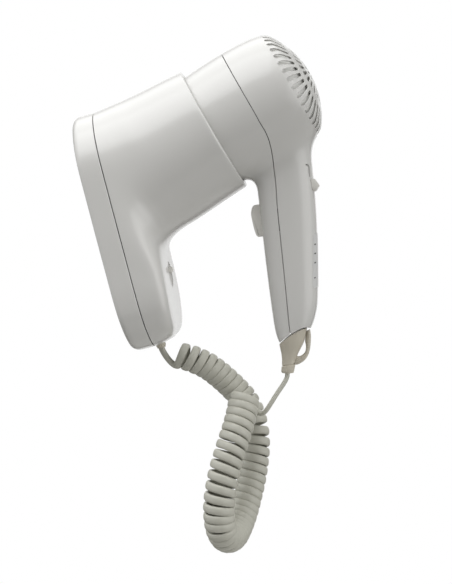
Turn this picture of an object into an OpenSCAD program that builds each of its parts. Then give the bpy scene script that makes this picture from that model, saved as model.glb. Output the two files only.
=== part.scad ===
// Wall-mounted hair dryer: a wall holder with a tubular hood, a pistol-grip
// handset whose nozzle rests in the hood, and the curly cord between them.
// Millimetres. The wall is the plane x = 0, the object stands out along +X,
// +Z is up, and the origin is the middle of the wall plate's back face.

/* [Wall holder] */
// Width of the wall plate and of the lower housing
plate_w = 98; // [97:0.5:99]
// Height of the wall plate
plate_h = 172; // [171:0.5:173]
// Depth of the wall plate tray
plate_d = 16.3; // [16:0.1:17]
// Radius of the two lower corners of the plate
plate_corner = 36; // [32:1:38]
// Height of the plate's arched top
plate_arch = 76; // [70:1:80]
// Wall thickness of the plate and the housing
holder_wall = 3; // [2.5:0.5:3]
// Distance across between the wall screw holes
screw_span_y = 60; // [50:5:64]
// Distance up between the wall screw holes
screw_span_z = 110; // [100:5:110]
// Radius of a wall screw hole
screw_hole_r = 2.25; // [2:0.25:2.75]
// Radius of the supply cable entry
entry_r = 10; // [8:1:10]

/* [Hood] */
// Tilt of the hood and of the handset barrel above level
tilt = 15; // [14:0.5:16]
// Outer radius of the hood at its mouth
hood_r = 46.8; // [46.5:0.1:47]
// Inner radius of the hood at its mouth
mouth_r = 42.9; // [42.7:0.1:43]

/* [Handset] */
// Wall thickness of the handset shells
shell_wall = 2.4; // [2:0.2:2.4]
// Length of the nozzle inside the hood
nozzle_l = 66; // [64:1:67]
// Distance from the hood's mouth to the seam between the two shells
seam_s = 31; // [30:0.5:32]
// Distance from the hood's mouth to the top of the grille dome
dome_s = 78.4; // [78:0.2:79]
// Radius of the grille at its edge
grille_r = 38.6; // [38.4:0.1:38.8]
// Number of slots in the outer ring of the grille
outer_slots = 38; // [30:1:38]
// Number of slots in the inner ring of the grille
inner_slots = 26; // [20:1:26]
// Number of fan blades
fan_blades = 7; // [5:1:9]

/* [Cord] */
// Outer diameter of the curly part of the cord
coil_d = 21; // [20:0.5:21]
// Diameter of the plain ends of the cord
cord_d = 5.2; // [4.8:0.2:5.2]

/* [Hidden] */
$fn = 64;

plate_r = plate_w / 2;
plate_top = plate_h / 2;
eps = 0.01;
far = 400;

// Middle of the hood's mouth, on the barrel's axis
mouth = [95.5, 52.5];
// Lean of the front and the back face of the handle
grip_lean = 8.2;
back_lean = 9.3;
// Middle of the trigger on the handle's front face, and the mode switch on its back
trigger_at = [111, 0, -19];
mode_at = [154.5, 0, 0];
// Lean of the front face of the lower housing, and where its switch sits
face_lean = 4.7;
base_at = [37.8, 0, -36];

white = [0.93, 0.93, 0.92];
ivory = [0.86, 0.84, 0.77];
cord_grey = [0.78, 0.78, 0.74];
steel = [0.72, 0.73, 0.75];
dark = [0.18, 0.18, 0.19];
mica = [0.72, 0.66, 0.52];
copper = [0.78, 0.46, 0.28];

// ---------- helpers ----------

// Moves a child drawn along +Z onto the barrel's axis; s = 0 is the hood's mouth
module on_axis(s = 0) {
  translate([mouth[0], 0, mouth[1]]) rotate([0, 90 - tilt, 0]) translate([0, 0, s]) children();
}

// Draws a 2-D outline of x and z as a slab of the given width across y
module slab(width) {
  rotate([90, 0, 0]) linear_extrude(height = width, center = true) children();
}

// A point of the side view, at s along the barrel's axis and r above it
function on_side(s, r) = [
  mouth[0] + s * cos(tilt) - r * sin(tilt),
  mouth[1] + s * sin(tilt) + r * cos(tilt)
];

function signed_pow(v, e) = sign(v) * pow(abs(v), e);

// One closed ring between the side-view points e and o, with half-width w;
// n = 2 is an ellipse and a larger n is squarer
function ring(e, o, w, n, count) = [
  for (i = [0:count - 1])
    let (
      a = 360 * i / count,
      p = signed_pow(cos(a), 2 / n),
      q = signed_pow(sin(a), 2 / n)
    )
    [(e[0] + o[0] + p * (e[0] - o[0])) / 2, q * w, (e[1] + o[1] + p * (e[1] - o[1])) / 2]
];

// The same ring, set in by t all round
function inset_ring(e, o, w, n, t, count) =
  let (v = (e - o) / norm(e - o))
  ring(e - t * v, o + t * v, w - t, n, count);

// A closed solid through a list of rings
module loft(rings) {
  n = len(rings[0]);
  m = len(rings);
  sides = [
    for (j = [0:m - 2], i = [0:n - 1])
      each [
        [j * n + i, j * n + (i + 1) % n, (j + 1) * n + (i + 1) % n],
        [j * n + i, (j + 1) * n + (i + 1) % n, (j + 1) * n + i]
      ]
  ];
  caps = [[for (i = [n - 1:-1:0]) i], [for (i = [0:n - 1]) (m - 1) * n + i]];
  polyhedron(points = [for (r = rings) each r], faces = concat(sides, caps), convexity = 6);
}

// Catmull-Rom point between p1 and p2
function spline_mid(p0, p1, p2, p3, t) =
  0.5 * (2 * p1 + (p2 - p0) * t + (2 * p0 - 5 * p1 + 4 * p2 - p3) * t * t
  + (3 * p1 - p0 - 3 * p2 + p3) * t * t * t);

// A smooth line through the points, with k steps between neighbours
function smooth(pts, k) =
  let (last = len(pts) - 1)
  concat(
    [for (i = [0:last - 1], j = [0:k - 1])
      spline_mid(pts[max(i - 1, 0)], pts[i], pts[i + 1], pts[min(i + 2, last)], j / k)],
    [pts[last]]
  );

// A round tube swept along a line of points
module tube(line, d, sides) {
  last = len(line) - 1;
  rings = [
    for (i = [0:last])
      let (
        v = line[min(i + 1, last)] - line[max(i - 1, 0)],
        w = v / norm(v),
        a = cross(w, [0.3, 1, 0.2]),
        u = a / norm(a),
        k = cross(w, u)
      )
      [for (j = [0:sides - 1]) line[i] + d / 2 * (cos(360 * j / sides) * u + sin(360 * j / sides) * k)]
  ];
  loft(rings);
}

// ---------- outlines of the holder ----------

// Front view of the wall plate: y across and z up, with an arched top
module plate_outline(inset = 0) {
  r = plate_r - inset;
  c = plate_corner - inset;
  spring = plate_top - plate_arch;
  arch = [for (a = [0:7.5:180]) [r * cos(a), spring + (plate_arch - inset) * sin(a)]];
  corners = [
    for (side = [-1, 1], k = [0:6])
      let (a = side < 0 ? 15 * k : 90 - 15 * k)
      [side * (r - c + c * cos(a)), -plate_top + plate_corner - c * sin(a)]
  ];
  polygon(concat(arch, corners));
}

// Extrudes a front-view outline from x0 to x1
module from_wall(x0, x1) {
  translate([x0, 0, 0]) rotate([90, 0, 90]) linear_extrude(height = x1 - x0) children();
}

// Half-width of the lower housing at height z, round the lower corners
function lower_half_w(z) =
  let (drop = max(0, -plate_top + plate_corner - z))
  plate_r - plate_corner + sqrt(max(0, plate_corner * plate_corner - drop * drop));

// Section rows of the housing, from the hood's mouth round the elbow to the base:
// [front or lower point, back or upper point, half-width, squareness]
behind = -24;
function housing_rows(lip) = [
  [on_side(0, lip ? -44.6 : -mouth_r), on_side(0, lip ? 44.6 : mouth_r), lip ? 44.6 : mouth_r, 2],
  [on_side(-0.7, -hood_r + 0.7), on_side(-0.7, hood_r - 0.7), hood_r - 0.7, 2],
  [on_side(-2.2, -hood_r), on_side(-2.2, hood_r), hood_r, 2],
  [[92, 2.2], [68, 94.8], 46.4, 2],
  [[78, -2.6], [53.5, 91.8], 46.3, 2],
  [[66, -6.6], [42, 89.8], 46.3, 2],
  [[56.8, -9.3], [32, 88.2], 46.3, 2.1],
  [[49.8, -12.2], [19, 86.4], 46.6, 2.2],
  [[44.6, -15.6], [6, 84.6], 47.2, 2.5],
  [[41, -20], [-10, 82], 48, 3.4],
  [[39.1, -26], [behind, 60], 48.7, 5.4],
  [[38.1, -33], [behind, 31], plate_r, 7.5],
  [[37.2, -43], [behind, 0], plate_r, 10],
  [[36.4, -53], [behind, -30], lower_half_w(-52), 11],
  [[35.6, -62], [behind, -54], lower_half_w(-60), 10],
  [[34.6, -69], [behind, -68.6], lower_half_w(-68.6), 9],
  [[33.4, -75], [behind, -76.8], lower_half_w(-75.6), 8],
  [[31.4, -79.6], [behind, -82], lower_half_w(-80.4), 6.6],
  [[27.8, -83], [behind, -85.4], lower_half_w(-83.6), 5.6],
  [[23.6, -84.8], [behind, -87.2], lower_half_w(-85.2), 4.6],
  [[19.8, -85.6], [behind, -87.8], lower_half_w(-85.7), 4]
];

module housing_outer() {
  loft([for (row = housing_rows(true)) ring(row[0], row[1], row[2], row[3], 40)]);
}

// The hollow: the mouth's bore first, then the rows set in by the wall
module housing_inner() {
  rows = housing_rows(false);
  hollow = [
    for (k = [4:len(rows) - 4])
      inset_ring(rows[k][0], rows[k][1], rows[k][2], rows[k][3], holder_wall, 40)
  ];
  neck = [
    for (s = [2, -8])
      ring(on_side(s, -mouth_r), on_side(s, mouth_r), mouth_r, 2, 40)
  ];
  floor_row = rows[len(rows) - 3];
  floor_ring = [ring([28, -81.8], [behind, -83], floor_row[2] - 6, 4, 40)];
  loft(concat(neck, hollow, floor_ring));
}

// ---------- outlines of the handset ----------

// Side profile of the barrel: [distance along the axis, radius]
barrel_rows = [
  [-nozzle_l, 33], [-58, 34.4], [-40, 37.2], [-20, 39.8], [0, 41.9],
  [14, 42.9], [28, 43.3], [42, 43.0], [52, 42.2], [58, 41.2], [62, 40], [64, 39.1]
];
barrel_end = 64;

module barrel(inset, s_cut) {
  rows = [for (row = barrel_rows) [max(row[1] - inset, 1), row[0]]];
  first = [rows[0][0], -nozzle_l - s_cut];
  final = [rows[len(rows) - 1][0], barrel_end + s_cut];
  on_axis()
    rotate_extrude($fn = 96)
      polygon(concat([[0, first[1]], first], rows, [final, [0, final[1]]]));
}

// Level sections of the handle: [z, front x, back x, half-width, squareness]
handle_rows = [
  [38, 119.5, 155, 16, 2.6],
  [20, 116.6, 157.2, 17.4, 2.8],
  [4, 114.2, 155.1, 17.6, 2.9],
  [-10, 112.1, 152.9, 17.4, 2.9],
  [-26, 109.7, 149.8, 17, 2.8],
  [-43, 107.2, 145.9, 16.6, 2.7],
  [-66, 104, 140.1, 16, 2.6],
  [-84, 101.7, 135.3, 15.2, 2.5],
  [-94, 100.6, 131, 14.4, 2.4],
  [-102, 99.9, 125.6, 13.6, 2.3],
  [-110, 99.5, 118.6, 12.8, 2.2]
];

module handle(inset) {
  loft([
    for (k = [len(handle_rows) - 1:-1:0])
      let (row = handle_rows[k])
      inset_ring([row[1], row[0]], [row[2], row[0]], row[3], row[4], inset, 32)
  ]);
}

// The side of the seam that faces the wall; the barrel's seam runs straight
// across, and below it the seam follows the handle
seam_turn = [132, 35.4];
seam_foot = [111.3, -101];
module front_side() {
  slab(200)
    polygon([
      on_side(seam_s, 120), on_side(seam_s, -26), seam_turn, [131.4, 20], [127.4, -3.4],
      seam_foot, [109, -115], [-60, -115], [-60, 200]
    ]);
}

// The handle ends along this line, where the strain relief takes over
module above_base() {
  slab(200)
    polygon([
      [60, -126], [100.5, -107], [106.6, -104], [111, -102.3], [118.5, -100.6], [122.6, -100.8],
      [125.4, -102.4], [140, -112],
      [far, -112], [far, far], [-60, far], [-60, -126]
    ]);
}

// Where the heads of the two shell screws sit: [x, z]
screw_seats = [[126, -44], [120, -70]];

module handset_shell() {
  difference() {
    intersection() {
      union() {
        difference() {
          union() {
            barrel(0, 0);
            handle(0);
          }
          barrel(shell_wall, 1);
          handle(shell_wall);
        }
        // posts for the screws, from the front wall to the back wall
        for (at = screw_seats)
          translate([at[0] - 17, 0, at[1]]) rotate([0, 90, 0]) cylinder(r = 3.8, h = 36);
      }
      handle_or_barrel();
      above_base();
    }
    for (at = screw_seats) translate([at[0], 0, at[1]]) rotate([0, 90, 0]) {
      cylinder(r = 2.8, h = 40);
      translate([0, 0, -10]) cylinder(r = 1.5, h = 11);
    }
  }
}

module handle_or_barrel() {
  barrel(0, 0);
  handle(0);
}

module on_grip() { translate(trigger_at) rotate([0, grip_lean, 0]) children(); }
module on_back() { translate(mode_at) rotate([0, back_lean, 0]) children(); }
module on_base_face() { translate(base_at) rotate([0, face_lean, 0]) children(); }

// A block given by its lowest and highest corners
module block(low, high) { translate(low) cube(high - low); }

// A tube along Z from z0 to z1
module pipe(r_out, r_in, z0, z1) {
  translate([0, 0, z0]) difference() {
    cylinder(r = r_out, h = z1 - z0);
    translate([0, 0, -1]) cylinder(r = r_in, h = z1 - z0 + 2);
  }
}

// ---------- holder ----------

entry_z = -42;
gland_x = 18.6;

module wall_plate() {
  color(white) difference() {
    union() {
      difference() {
        union() {
          from_wall(3, plate_d) plate_outline();
          from_wall(1, 3) plate_outline(0.8);
          from_wall(0, 1) plate_outline(2);
        }
        from_wall(holder_wall, plate_d + 1) plate_outline(holder_wall);
      }
      for (y = [-1, 1], z = [-1, 1])
        translate([1, y * screw_span_y / 2, z * screw_span_z / 2]) rotate([0, 90, 0]) cylinder(r = 5.5, h = 5);
    }
    for (y = [-1, 1], z = [-1, 1])
      translate([-1, y * screw_span_y / 2, z * screw_span_z / 2]) rotate([0, 90, 0])
        cylinder(r = screw_hole_r, h = 20);
    translate([-1, 0, entry_z]) rotate([0, 90, 0]) cylinder(r = entry_r, h = 10);
    // lower edge, cut for the cord gland
    translate([gland_x, 0, -plate_top - 1]) cylinder(r = 6.4, h = 8);
  }
}

slot_up = 4.4;
slot_down = 10.4;
boss_h = 2;
// Half the outline of the switch's raised base: [height, half-width]
boss_half = [[7.8, 0], [4.4, 2.1], [0, 2.6], [-7, 2.6], [-11, 1.9], [-14.4, 0]];

module switch_boss() {
  flipped = [for (k = [len(boss_half) - 2:-1:1]) [-boss_half[k][0], -boss_half[k][1]]];
  on_base_face() translate([-1.6, 0, 0]) rotate([0, 90, 0]) linear_extrude(height = boss_h + 1.6)
    polygon(concat([for (p = boss_half) [-p[0], p[1]]], flipped));
}

module holder_housing() {
  color(white) difference() {
    union() {
      loft_shell();
      switch_boss();
    }
    // slot for the switch knob's stem
    on_base_face() block([-6, -1.3, -slot_down], [6, 1.3, slot_up]);
    // hole for the cord gland
    translate([gland_x, 0, -plate_top - 1]) cylinder(r = 6.4, h = 8);
  }
}

module loft_shell() {
  intersection() {
    difference() {
      housing_outer();
      housing_inner();
    }
    block([plate_d + 0.25, -80, -120], [140, 80, 140]);
  }
}

// The cup behind the hood's mouth that the nozzle slides into
module hood_liner() {
  color(white) on_axis() rotate_extrude($fn = 96)
    polygon([
      [mouth_r - 1.4, -9], [40.8, -22], [37.6, -66], [36.2, -70], [8, -70], [8, -71.6],
      [37.2, -71.6], [39.2, -67], [42.4, -22], [mouth_r - 0.2, -9]
    ]);
}

module base_switch() {
  color(dark) on_base_face() difference() {
    block([-19, -6, -16], [-7, 6, 12]);
    block([-12, -2.5, -13], [-6, 2.5, 9]);
  }
}

// A saddle that straddles the boss, on a stem through the slot
module base_knob() {
  color(white) on_base_face() union() {
    block([-9, -1, -1.1], [2.7, 1, 1.1]);
    difference() {
      translate([1.1, 0, 0]) rotate([90, 0, 0]) cylinder(r = 2.4, h = 8, center = true);
      block([-3, -5, -3], [0.3, 5, 3]);
      block([-3, -2.9, -3], [boss_h + 0.3, 2.9, 3]);
    }
  }
}

module terminal_block() {
  color(dark) difference() {
    block([holder_wall, -16, -20], [holder_wall + 9, 16, -8]);
    for (y = [-10, 0, 10]) translate([holder_wall + 4, y, -14]) rotate([0, 90, 0]) cylinder(r = 2, h = 8);
  }
}

module supply_clamp() {
  color(white) difference() {
    block([holder_wall, -14, -68], [holder_wall + 5, 14, -60]);
    for (y = [-10, 10]) translate([0, y, -64]) rotate([0, 90, 0]) cylinder(r = 1.7, h = 12);
    translate([holder_wall - 1, 0, -64]) cylinder(r = 4, h = 20, center = true);
  }
}

// Two clamp screws and three terminal screws
module holder_screws() {
  color(steel) {
    for (y = [-10, 10]) translate([holder_wall + 5, y, -64]) rotate([0, 90, 0]) {
      cylinder(r = 3, h = 2);
      translate([0, 0, -4]) cylinder(r = 1.6, h = 5);
    }
    for (y = [-10, 0, 10]) translate([holder_wall + 5, y, -14]) rotate([0, 90, 0]) cylinder(r = 1.9, h = 3);
  }
}

// Bush in the housing's base that the curly cord comes out of
module cord_gland() {
  color(ivory) translate([gland_x, 0, 0]) union() {
    translate([0, 0, -plate_top - 1.8]) cylinder(r1 = 5.2, r2 = 6.2, h = 1.8);
    translate([0, 0, -plate_top - eps]) cylinder(r = 6.2, h = 8);
  }
}

// ---------- handset shells ----------

module front_shell() {
  color(white) difference() {
    intersection() {
      handset_shell();
      front_side();
    }
    on_grip() block([-8, -6.4, -11.9], [6, 6.4, 11.9]);
  }
}

module rear_shell() {
  color(white) difference() {
    handset_shell();
    front_side();
    // slot for the mode switch's stem
    on_back() block([-8, -1.7, -7.4], [4, 1.7, 10.6]);
  }
}

// Radius of the sphere that the grille's dome is part of, and its height over the edge
dome_h = dome_s - 65;
dome_r = (grille_r * grille_r + dome_h * dome_h) / (2 * dome_h);
function dome_at(r, t) = dome_s - dome_r + sqrt((dome_r - t) * (dome_r - t) - r * r);

module inlet_grille() {
  t = 2;
  skirt_r = grille_r - 2.6;
  color(white) on_axis() difference() {
    rotate_extrude($fn = 96)
      polygon(concat(
        [for (i = [0:8]) let (r = (grille_r + 0.2) * i / 8) [r, dome_at(r, 0)]],
        [[grille_r + 0.2, barrel_end + 0.05], [skirt_r, barrel_end + 0.05], [skirt_r, 61], [skirt_r - 1.6, 61]],
        [for (i = [8:-1:0]) let (r = (skirt_r - 1.6) * i / 8) [r, dome_at(r, t)]]
      ));
    for (i = [0:outer_slots - 1])
      rotate([0, 0, 360 * i / outer_slots]) block([23, -1.05, 66.2], [36.4, 1.05, 85]);
    for (i = [0:inner_slots - 1])
      rotate([0, 0, 360 * (i + 0.5) / inner_slots]) block([9, -0.75, 70], [20, 0.75, 85]);
  }
}

module lint_screen() {
  color([0.85, 0.85, 0.84]) on_axis() pipe(35.8, 1, 60, 60.6);
}

module outlet_grille() {
  color(dark) on_axis(-nozzle_l + 1) linear_extrude(height = 2) union() {
    for (r = [8, 15.5, 23, 30.2]) difference() {
      circle(r = r);
      circle(r = r - 1.4);
    }
    for (a = [0, 60, 120]) rotate(a) square([58.6, 1.2], center = true);
  }
}

// ---------- air path, motor and heater ----------

motor_r = 14;

module fan_duct() {
  color(dark) on_axis() union() {
    pipe(37, 35.4, -4, 58);
    pipe(motor_r + 2, motor_r + 0.02, 20, 34);
    for (a = [0:72:288]) rotate([0, 0, a]) block([motor_r + 1, -0.8, 20], [36, 0.8, 34]);
  }
}

module motor_can() {
  color(steel) on_axis() difference() {
    translate([0, 0, 12]) cylinder(r = motor_r, h = 30);
    translate([0, 0, 14]) cylinder(r = motor_r - 1.2, h = 26);
    translate([0, 0, 11]) cylinder(r = 4, h = 32);
  }
}

module motor_bearings() {
  color(copper) on_axis() {
    for (s = [11.8, 39.8]) pipe(4, 1.65, s, s + 2.4);
  }
}

module motor_shaft() {
  color(steel) on_axis(9) cylinder(r = 1.6, h = 47);
}

module armature() {
  color(copper) on_axis() union() {
    pipe(10.5, 1.6, 20, 36);
    pipe(4.5, 1.6, 15.5, 20.5);
  }
}

module fan() {
  color(dark) on_axis() difference() {
    intersection() {
      union() {
        translate([0, 0, 44.5]) cylinder(r = 9, h = 11);
        for (i = [0:fan_blades - 1]) rotate([0, 0, 360 * i / fan_blades]) translate([20, 0, 50])
          rotate([38, 0, 0]) cube([30, 1.4, 15], center = true);
      }
      translate([0, 0, 44.5]) cylinder(r = 33.6, h = 11);
    }
    translate([0, 0, 40]) cylinder(r = 1.6, h = 20);
  }
}

module heat_sleeve() {
  color(mica) on_axis() pipe(30.6, 29.8, -56, -6);
}

module heater_frame() {
  color(mica) on_axis() difference() {
    union() {
      block([-29, -0.5, -54], [29, 0.5, -8]);
      block([-0.5, -29, -54], [0.5, 29, -8]);
    }
    translate([0, 0, -60]) cylinder(r = 2, h = 10);
  }
}

module heater_coils() {
  color(steel) on_axis() for (s = [-46:6:-16], r = [14, 23])
    translate([0, 0, s]) rotate_extrude($fn = 48) translate([r, 0]) circle(r = 0.9, $fn = 16);
}

module thermostat() {
  color(steel) on_axis() translate([7, 0.7, -12]) rotate([-90, 0, 0]) cylinder(r = 4, h = 3.4);
}

module thermal_fuse() {
  color(steel) on_axis() translate([-8, 2.4, -16]) cylinder(r = 1.5, h = 7);
}

// ---------- controls in the handle ----------

module trigger() {
  color(white) on_grip() union() {
    rotate([90, 0, 0]) linear_extrude(height = 12, center = true)
      polygon([
        [5, 11.5], [-3.6, 11.5], [-5.2, 10], [-6.2, 7], [-6.5, 4], [-6.2, 0], [-5.1, -8],
        [-4.4, -10.4], [-3, -11.5], [5, -11.5]
      ]);
    block([3.6, -7.4, -12.8], [5, 7.4, 12.8]);
  }
}

module trigger_switch() {
  color(dark) on_grip() union() {
    block([11, -5, -9], [19, 5, 7]);
    block([8.6, -1.5, -2], [11.1, 1.5, 2]);
  }
}

module mode_knob() {
  half = [[0.5, 11.7], [3, 11.4], [5.5, 11], [7.2, 10.5], [8.4, 9.7], [9, 8.5]];
  plan = concat(half, [for (k = [5:-1:0]) [half[k][0], -half[k][1]]]);
  color(white) union() {
    difference() {
      on_back() intersection() {
        rotate([90, 0, 0]) linear_extrude(height = 26, center = true)
          polygon([[-3.8, -0.5], [1.1, -0.5], [3.9, -5.3], [1, -9.1], [-3.8, -9.1]]);
        translate([-3.9, 0, 0]) rotate([0, 90, 0]) linear_extrude(height = 9) polygon(plan);
      }
      handle(-0.3);
    }
    on_back() block([-4.4, -1.4, -7], [0.8, 1.4, -2.6]);
  }
}

module mode_switch() {
  color(dark) on_back() difference() {
    block([-17, -6, -13], [-3.6, 6, 15]);
    block([-6, -2.2, -9.5], [-3, 2.2, 12.5]);
  }
}

// Follows the handle's back and covers the two screw holes
module label_plate() {
  color([0.95, 0.95, 0.94]) intersection() {
    difference() {
      handle(-0.4);
      handle(0);
    }
    block([130, -11.5, -75], [160, 11.5, -38]);
  }
}

module handle_clamp() {
  color(white) difference() {
    block([108, -8, -93], [118, 8, -88]);
    translate([113, 0, -94]) cylinder(r = 3, h = 7);
  }
}

// Two screws that hold the two shells together
module shell_screws() {
  color(steel) for (at = screw_seats)
    translate([at[0], 0, at[1]]) rotate([0, 90, 0]) {
      cylinder(r = 2.6, h = 1.8);
      translate([0, 0, -9]) cylinder(r = 1.45, h = 9.5);
    }
}

// Rows of the strain relief, from the handle's base to the collar's end:
// [front point, back point, half-width, squareness]
relief_rows = [
  [[100.4, -107.4], [122.8, -102.4], 12.2, 2.3],
  [[100.4, -110.8], [119.2, -107.4], 10, 2.2],
  [[100.2, -115], [114.6, -113.4], 7.6, 2],
  [[99.6, -119.2], [110.8, -118.6], 6, 2],
  [[98.6, -122.8], [108, -123.4], 5, 2],
  [[96.9, -127.2], [105.4, -129.6], 4.7, 2]
];
loop_at = [107.6, -107.6];
loop_r = 16.4;
loop_t = 3.4;

module strain_relief() {
  color(ivory) union() {
    loft([for (k = [len(relief_rows) - 1:-1:0])
      let (row = relief_rows[k]) ring(row[0], row[1], row[2], row[3], 24)]);
    // hanging loop
    slab(4) difference() {
      intersection() {
        translate(loop_at) circle(r = loop_r, $fn = 96);
        polygon([loop_at + [8, 5.6], [130, -99.5], [130, -130], [107, -130], [107.2, -118]]);
      }
      translate(loop_at) circle(r = loop_r - loop_t, $fn = 96);
    }
  }
}

// ---------- cord ----------

// Plain lead from the gland to the first turn
lead_route = [
  [18.4, 0, -87.8], [18.6, 0, -90.6], [19.9, 0, -95.2], [22.4, 0, -100], [25.4, 0, -103.8], [29, 0, -105.8]
];
// Middle line of the curly part, from the holder's end
coil_route = [
  [27.8, 0, -96.2], [34.4, 1, -99.6], [41, 2.5, -104.4], [47, 4.5, -110], [52.4, 6.5, -116.6],
  [57.4, 8.5, -123.8], [62, 10.5, -131.2], [65.8, 12, -139], [68.2, 13, -148.4], [68.6, 13, -158.6],
  [67.4, 12, -169], [64.6, 10.5, -179], [60.8, 8.5, -188.8], [56.2, 6, -198.6], [51, 2.5, -208.4],
  [45.4, -2, -218], [39.4, -8.5, -226], [34.2, -16.5, -230.4], [30.4, -24.5, -228.8], [28.8, -29.5, -221.4],
  [29.4, -31, -211], [32, -31, -200.6], [35.8, -30, -191], [40.4, -28.4, -181.8], [45.6, -26.2, -173],
  [51.2, -23.4, -164.6], [56.8, -20, -156.4], [62, -16.4, -148.2], [66.4, -13, -140.2], [69.6, -10.6, -133.6]
];
// Plain tail from the last turn, behind the coil, to the strain relief
tail_route = [
  [65.4, -2.6, -148], [70.4, -2.8, -152.4], [75.4, -3.8, -153.4], [80, -4.6, -150.4], [84.8, -4.2, -146],
  [90.6, -2.8, -140.6], [96.6, -1, -135.4], [99.8, -0.2, -131.8], [101.1, 0, -128.5]
];

module cord_lead() {
  color(cord_grey) tube(smooth(lead_route, 2), cord_d, 10);
}

module cord_coil() {
  color(cord_grey) tube(smooth(coil_route, 2), coil_d, 12);
}

module cord_tail() {
  color(cord_grey) tube(smooth(tail_route, 2), cord_d, 10);
}

wall_plate();
holder_housing();
hood_liner();
base_switch();
base_knob();
terminal_block();
supply_clamp();
holder_screws();
cord_gland();
front_shell();
rear_shell();
inlet_grille();
lint_screen();
outlet_grille();
fan_duct();
motor_can();
motor_bearings();
motor_shaft();
armature();
fan();
heat_sleeve();
heater_frame();
heater_coils();
thermostat();
thermal_fuse();
trigger();
trigger_switch();
mode_knob();
mode_switch();
label_plate();
handle_clamp();
shell_screws();
strain_relief();
cord_lead();
cord_coil();
cord_tail();
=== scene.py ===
import math

import bmesh
import bpy
import numpy as np
from mathutils import Matrix, Vector
from mathutils.geometry import delaunay_2d_cdt


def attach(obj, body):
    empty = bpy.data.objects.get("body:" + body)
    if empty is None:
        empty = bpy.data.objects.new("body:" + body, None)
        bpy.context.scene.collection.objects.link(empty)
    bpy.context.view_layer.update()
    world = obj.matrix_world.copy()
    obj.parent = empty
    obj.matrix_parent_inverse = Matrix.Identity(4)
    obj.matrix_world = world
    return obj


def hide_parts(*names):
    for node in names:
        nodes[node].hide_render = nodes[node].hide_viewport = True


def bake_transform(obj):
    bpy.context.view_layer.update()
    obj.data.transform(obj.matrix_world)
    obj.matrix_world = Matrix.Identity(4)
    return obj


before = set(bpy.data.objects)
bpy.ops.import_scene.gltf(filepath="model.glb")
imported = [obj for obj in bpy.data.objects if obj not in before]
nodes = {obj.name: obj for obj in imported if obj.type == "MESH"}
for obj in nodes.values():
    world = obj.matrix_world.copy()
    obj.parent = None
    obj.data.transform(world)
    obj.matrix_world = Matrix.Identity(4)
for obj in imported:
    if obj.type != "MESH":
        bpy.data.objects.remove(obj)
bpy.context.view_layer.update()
MM = 0.001

TILT = math.radians(15)
C15, S15 = math.cos(TILT), math.sin(TILT)
MOUTH = np.array([95.5, 52.5])


# ---------------------------------------------------------------- mesh helpers


def curve_through(points, steps):
    """Catmull-Rom line through the points, with the given steps between neighbours."""
    p = np.asarray(points, float)
    p = np.vstack([2 * p[0] - p[1], p, 2 * p[-1] - p[-2]])
    out = []
    for i in range(1, len(p) - 2):
        for t in np.arange(steps) / steps:
            a, b, c, d = p[i - 1 : i + 3]
            square, cube = 2 * a - 5 * b + 4 * c - d, 3 * b - a - 3 * c + d
            out.append(0.5 * (2 * b + (c - a) * t + square * t**2 + cube * t**3))
    out.append(p[-2])
    return np.array(out)


def mesh_piece(name, verts, faces, sharp=40.0):
    """A mesh object from millimetres, shaded smooth but for edges sharper than the given angle."""
    me = bpy.data.meshes.new(name)
    me.from_pydata((np.asarray(verts, float) * MM).tolist(), [], [list(f) for f in faces])
    me.validate()
    ob = bpy.data.objects.new(name, me)
    bpy.context.scene.collection.objects.link(ob)
    clean(ob, sharp)
    return ob


def clean(ob, sharp=40.0):
    """Merges doubled points, turns the faces outward and marks the sharp edges."""
    bm = bmesh.new()
    bm.from_mesh(ob.data)
    bmesh.ops.remove_doubles(bm, verts=bm.verts, dist=1e-6)
    bmesh.ops.dissolve_degenerate(bm, edges=bm.edges, dist=1e-7)
    bmesh.ops.recalc_face_normals(bm, faces=bm.faces)
    shade(bm, sharp)
    bm.to_mesh(ob.data)
    bm.free()
    ob.data.update()


def shade(bm, sharp):
    """Smooth faces, with the edges sharper than the angle (degrees) marked."""
    limit = math.radians(sharp)
    for f in bm.faces:
        f.smooth = True
    for e in bm.edges:
        e.smooth = not (len(e.link_faces) == 2 and e.calc_face_angle(0) > limit)


def loft_faces(m, n):
    """Quads between m rings of n points."""
    return [
        (j * n + i, j * n + (i + 1) % n, (j + 1) * n + (i + 1) % n, (j + 1) * n + i)
        for j in range(m - 1)
        for i in range(n)
    ]


def loft(rings):
    """Vertices and faces of a closed body through rings of equal count."""
    rings = np.asarray(rings, float)
    m, n = rings.shape[:2]
    first, last = tuple(range(n - 1, -1, -1)), tuple(range((m - 1) * n, m * n))
    return rings.reshape(-1, 3), [*loft_faces(m, n), first, last]


def side(s, r):
    """Side-view point at s along the barrel's axis and r above it."""
    return np.array([MOUTH[0] + s * C15 - r * S15, MOUTH[1] + s * S15 + r * C15])


def on_axis(p):
    """Points (a, b, s) about the barrel's axis, moved to the row frame: a up, b across, s along."""
    p = np.asarray(p, float)
    a, b, s = p[..., 0], p[..., 1], p[..., 2]
    return np.stack([MOUTH[0] + s * C15 - a * S15, b, MOUTH[1] + s * S15 + a * C15], -1)


def spin(profile, count):
    """A skin turned about the barrel's axis from (r, s) points."""
    r, s = np.hsplit(np.asarray(profile, float), 2)
    ang = np.arange(count) * 2 * math.pi / count
    rings = on_axis(np.stack([r * np.cos(ang), r * np.sin(ang), np.repeat(s, count, 1)], -1))
    return rings.reshape(-1, 3), loft_faces(len(rings), count)


def circle(r, count, shift=0.0):
    """Points round a circle, turned by the given share of one step."""
    a = (np.arange(count) + shift) * 2 * math.pi / count
    return np.stack([r * np.cos(a), r * np.sin(a)], 1)


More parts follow.
